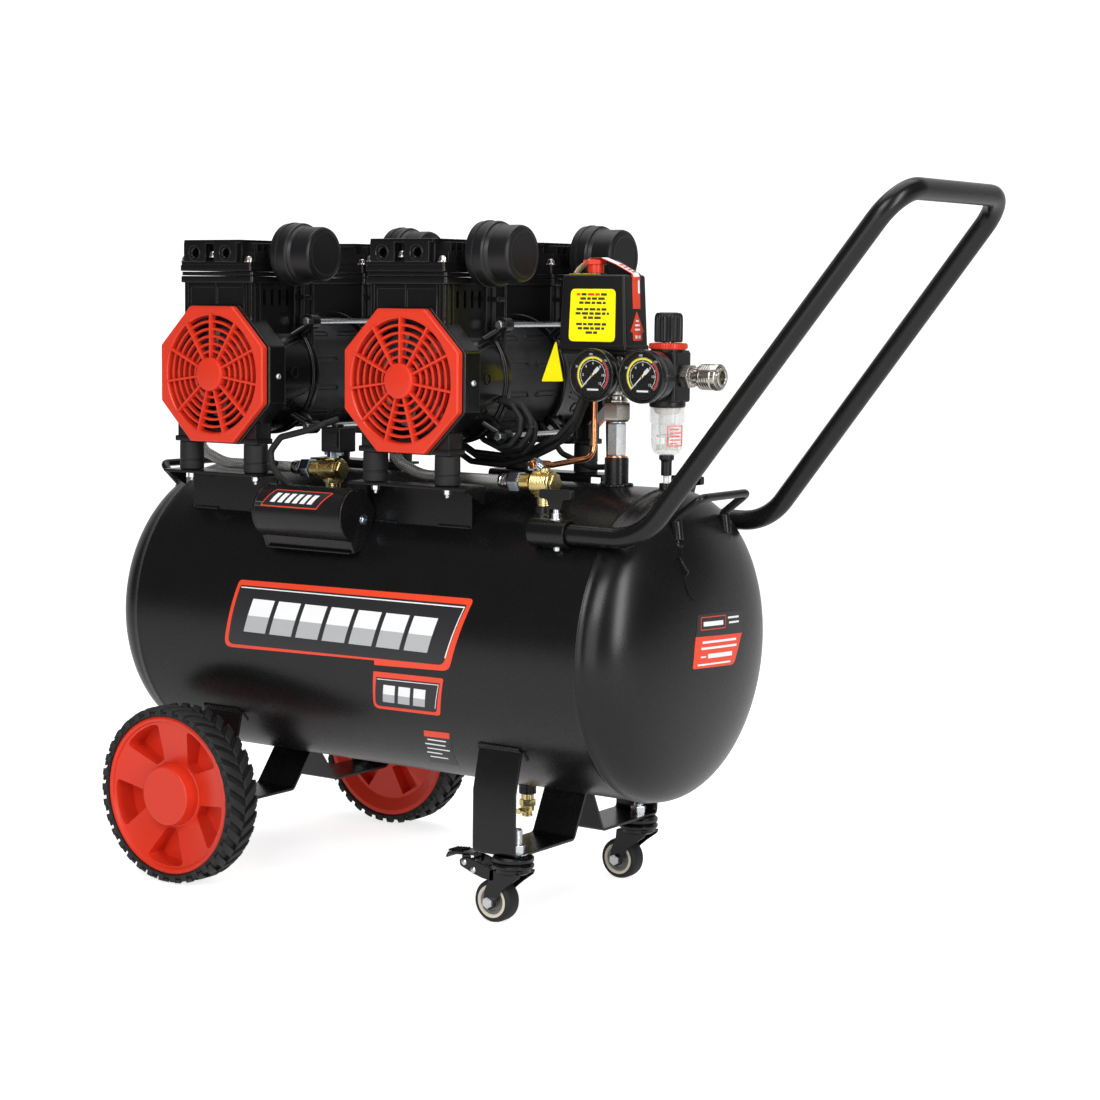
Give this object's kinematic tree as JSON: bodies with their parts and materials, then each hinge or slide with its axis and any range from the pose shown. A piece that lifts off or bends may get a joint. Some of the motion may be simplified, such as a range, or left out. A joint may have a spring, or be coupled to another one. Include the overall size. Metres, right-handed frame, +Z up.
{
  "type": "twin stack compressor",
  "caption": "Wheeled air compressor: oil-free pumps on a horizontal receiver, red fan grilles, pressure switch, gauges, filter regulator and a push handle.",
  "frame": {"origin": "middle of the bounding box on the ground, under the receiver", "axes": "+X along the receiver towards the push handle, +Z up, -Y the front with the tank graphic"},
  "size_m": [0.9414, 0.4104, 0.7184],
  "materials": {
    "powder_coat": "satin black powder coat on steel",
    "black_casting": "semi-gloss black paint on die-cast aluminium",
    "black_plastic": "fine-textured black moulded plastic",
    "red_plastic": "orange-red moulded plastic",
    "tyre": "black solid rubber",
    "zinc": "bright zinc-plated steel",
    "steel": "ground steel",
    "lamination": "varnished steel laminations",
    "alloy": "bare cast aluminium",
    "brass": "machined yellow brass",
    "copper": "bright copper tube",
    "nickel": "nickel-plated brass",
    "braid": "woven stainless steel braid",
    "caster_core": "cream nylon core with a black tread",
    "clear_bowl": "clear polycarbonate",
    "white_enamel": "white enamelled pointer"
  },
  "bodies": {
    "chassis": {"receiver_tank": "powder_coat", "push_handle": "powder_coat", "capacitor_cover": "powder_coat", "axle_bolt_front": "zinc", "axle_bolt_back": "zinc", "stator_left": "lamination", "crankcase_left_front": "black_casting", "cylinder_head_left_front": "black_casting", "intake_filter_left_front": "black_plastic", "fan_grille_left_front": "red_plastic", "crankcase_left_back": "black_casting", "cylinder_head_left_back": "black_casting", "intake_filter_left_back": "black_plastic", "fan_grille_left_back": "red_plastic", "check_valve_left": "brass", "braided_hose_left": "braid", "stator_right": "lamination", "crankcase_right_front": "black_casting", "cylinder_head_right_front": "black_casting", "intake_filter_right_front": "black_plastic", "fan_grille_right_front": "red_plastic", "crankcase_right_back": "black_casting", "cylinder_head_right_back": "black_casting", "intake_filter_right_back": "black_plastic", "fan_grille_right_back": "red_plastic", "check_valve_right": "brass", "braided_hose_right": "braid", "unload_tube": "copper", "air_manifold": "nickel", "pressure_switch_cover": "black_plastic", "gauge_case_tank": "black_plastic", "gauge_case_outlet": "black_plastic", "regulator_body": "black_plastic", "filter_bowl": "clear_bowl", "coupler_body": "nickel", "safety_valve": "brass", "drain_valve": "brass"},
    "wheel_front": {"wheel_rim_front": "red_plastic", "tyre_front": "tyre"},
    "caster_front": {"caster_fork_front": "powder_coat"},
    "caster_roller_front": {"caster_wheel_front": "caster_core"},
    "wheel_back": {"wheel_rim_back": "red_plastic", "tyre_back": "tyre"},
    "caster_back": {"caster_fork_back": "powder_coat"},
    "caster_roller_back": {"caster_wheel_back": "caster_core"},
    "brake": {"brake_pedal": "powder_coat"},
    "rotor_left": {"rotor_shaft_left": "steel"},
    "piston_body_left_front": {"piston_left_front": "alloy"},
    "piston_body_left_back": {"piston_left_back": "alloy"},
    "rotor_right": {"rotor_shaft_right": "steel"},
    "piston_body_right_front": {"piston_right_front": "alloy"},
    "piston_body_right_back": {"piston_right_back": "alloy"},
    "button": {"switch_button": "red_plastic"},
    "needle_tank": {"gauge_needle_tank": "white_enamel"},
    "needle_outlet": {"gauge_needle_outlet": "white_enamel"},
    "spindle": {"regulator_spindle": "steel"},
    "knob": {"regulator_knob": "black_plastic"},
    "sleeve": {"coupler_sleeve": "nickel"},
    "ring": {"safety_ring": "zinc"},
    "tap": {"drain_tap": "zinc"}
  },
  "joints": [
    {"name": "wheel_spin_front", "type": "hinge", "parent": "chassis", "child": "wheel_front", "pos_m": [-0.31444, -0.1836, 0.0932], "axis": [0, 1, 0], "continuous": true},
    {"name": "caster_swivel_front", "type": "hinge", "parent": "chassis", "child": "caster_front", "pos_m": [0.06526, -0.114, 0.059], "axis": [0, 0, 1], "continuous": true},
    {"name": "caster_roll_front", "type": "hinge", "parent": "caster_front", "child": "caster_roller_front", "pos_m": [0.04626, -0.114, 0.0215], "axis": [0, 1, 0], "continuous": true},
    {"name": "wheel_spin_back", "type": "hinge", "parent": "chassis", "child": "wheel_back", "pos_m": [-0.31444, 0.1836, 0.0932], "axis": [0, 1, 0], "continuous": true},
    {"name": "caster_swivel_back", "type": "hinge", "parent": "chassis", "child": "caster_back", "pos_m": [0.06526, 0.114, 0.059], "axis": [0, 0, 1], "continuous": true},
    {"name": "caster_roll_back", "type": "hinge", "parent": "caster_back", "child": "caster_roller_back", "pos_m": [0.04626, 0.114, 0.0215], "axis": [0, 1, 0], "continuous": true},
    {"name": "brake_press", "type": "hinge", "parent": "caster_front", "child": "brake", "pos_m": [0.01526, -0.114, 0.057], "axis": [0, -1, 0], "range_deg": [0, 8]},
    {"name": "rotor_spin_left", "type": "hinge", "parent": "chassis", "child": "rotor_left", "pos_m": [-0.30274, 0, 0.5288], "axis": [0, 1, 0], "continuous": true},
    {"name": "piston_stroke_left_front", "type": "slide", "parent": "chassis", "child": "piston_body_left_front", "axis": [0, 0, 1], "range_m": [-0.01, 0.01]},
    {"name": "piston_stroke_left_back", "type": "slide", "parent": "chassis", "child": "piston_body_left_back", "axis": [0, 0, 1], "range_m": [-0.01, 0.01]},
    {"name": "rotor_spin_right", "type": "hinge", "parent": "chassis", "child": "rotor_right", "pos_m": [-0.05424, 0, 0.5288], "axis": [0, 1, 0], "continuous": true},
    {"name": "piston_stroke_right_front", "type": "slide", "parent": "chassis", "child": "piston_body_right_front", "axis": [0, 0, 1], "range_m": [-0.01, 0.01]},
    {"name": "piston_stroke_right_back", "type": "slide", "parent": "chassis", "child": "piston_body_right_back", "axis": [0, 0, 1], "range_m": [-0.01, 0.01]},
    {"name": "switch_press", "type": "slide", "parent": "chassis", "child": "button", "axis": [0, 0, -1], "range_m": [0, 0.008]},
    {"name": "needle_sweep_tank", "type": "hinge", "parent": "chassis", "child": "needle_tank", "pos_m": [0.10596, -0.0475, 0.5368], "axis": [0, 1, 0], "range_deg": [0, 270]},
    {"name": "needle_sweep_outlet", "type": "hinge", "parent": "chassis", "child": "needle_outlet", "pos_m": [0.16306, -0.0475, 0.5368], "axis": [0, 1, 0], "range_deg": [0, 270]},
    {"name": "regulator_turn", "type": "hinge", "parent": "chassis", "child": "spindle", "pos_m": [0.16306, 0, 0.5689], "axis": [0, 0, 1], "range_deg": [-720, 720]},
    {"name": "knob_lift", "type": "slide", "parent": "spindle", "child": "knob", "axis": [0, 0, 1], "range_m": [0, 0.003]},
    {"name": "coupler_release", "type": "slide", "parent": "chassis", "child": "sleeve", "axis": [-1, 0, 0], "range_m": [0, 0.006]},
    {"name": "safety_pull", "type": "slide", "parent": "chassis", "child": "ring", "axis": [0, 1, 0], "range_m": [0, 0.003]},
    {"name": "drain_turn", "type": "hinge", "parent": "chassis", "child": "tap", "pos_m": [0.00196, -0.012, 0.087], "axis": [0, -1, 0], "range_deg": [0, 90]}
  ]
}
